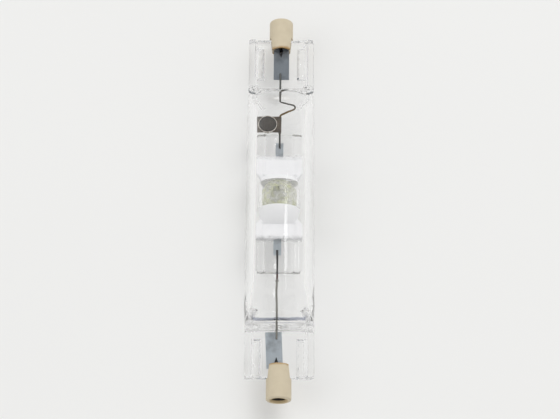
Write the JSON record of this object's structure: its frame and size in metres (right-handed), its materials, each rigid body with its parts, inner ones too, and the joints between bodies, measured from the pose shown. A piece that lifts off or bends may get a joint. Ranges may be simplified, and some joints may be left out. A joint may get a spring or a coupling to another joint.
{
  "type": "metal halide lamp",
  "caption": "Double-ended metal halide lamp: clear quartz tube pressed flat at both ends, quartz arc tube with white end coats inside, ceramic end caps with recessed contacts.",
  "frame": {"origin": "middle of the lamp, on the axis of its tube, halfway between the outer ends of the two caps", "axes": "+Y along the lamp towards the far end, which carries the getter; +Z square to the flat press seals; +X across the flat press seals"},
  "size_m": [0.022, 0.132, 0.022],
  "materials": {
    "quartz": "clear, glossy",
    "arc_quartz": "clear, glossy",
    "ceramic": "matt, fine grained",
    "contact_metal": "dull",
    "cement": "rough, grey white",
    "outer_lead": "dark, oxidised",
    "foil": "satin grey",
    "lead_wire": "drawn wire, heat tinted",
    "getter_steel": "heat tinted, brushed",
    "getter_pellet": "pressed powder",
    "tungsten": "dark grey",
    "heat_coat": "matt white",
    "halide_salts": "pale yellow crust"
  },
  "bodies": {
    "root": {"outer_bulb": "quartz", "end_cap_far": "ceramic", "end_cap_near": "ceramic", "contact_far": "contact_metal", "contact_near": "contact_metal", "cement_far": "cement", "cement_near": "cement", "outer_lead_far": "outer_lead", "outer_lead_near": "outer_lead", "seal_foil_far": "foil", "seal_foil_near": "foil", "inner_lead_far": "lead_wire", "inner_lead_near": "lead_wire", "getter_strip": "getter_steel", "getter_cup": "getter_steel", "getter_pellet": "getter_pellet", "arc_tube": "arc_quartz", "arc_foil_far": "foil", "arc_foil_near": "foil", "arc_lead_far": "lead_wire", "arc_lead_near": "lead_wire", "electrode_rod_far": "tungsten", "electrode_rod_near": "tungsten", "electrode_coil_far": "tungsten", "electrode_coil_near": "tungsten", "end_coat_far": "heat_coat", "end_coat_near": "heat_coat", "halide_dose": "halide_salts"}
  },
  "joints": []
}
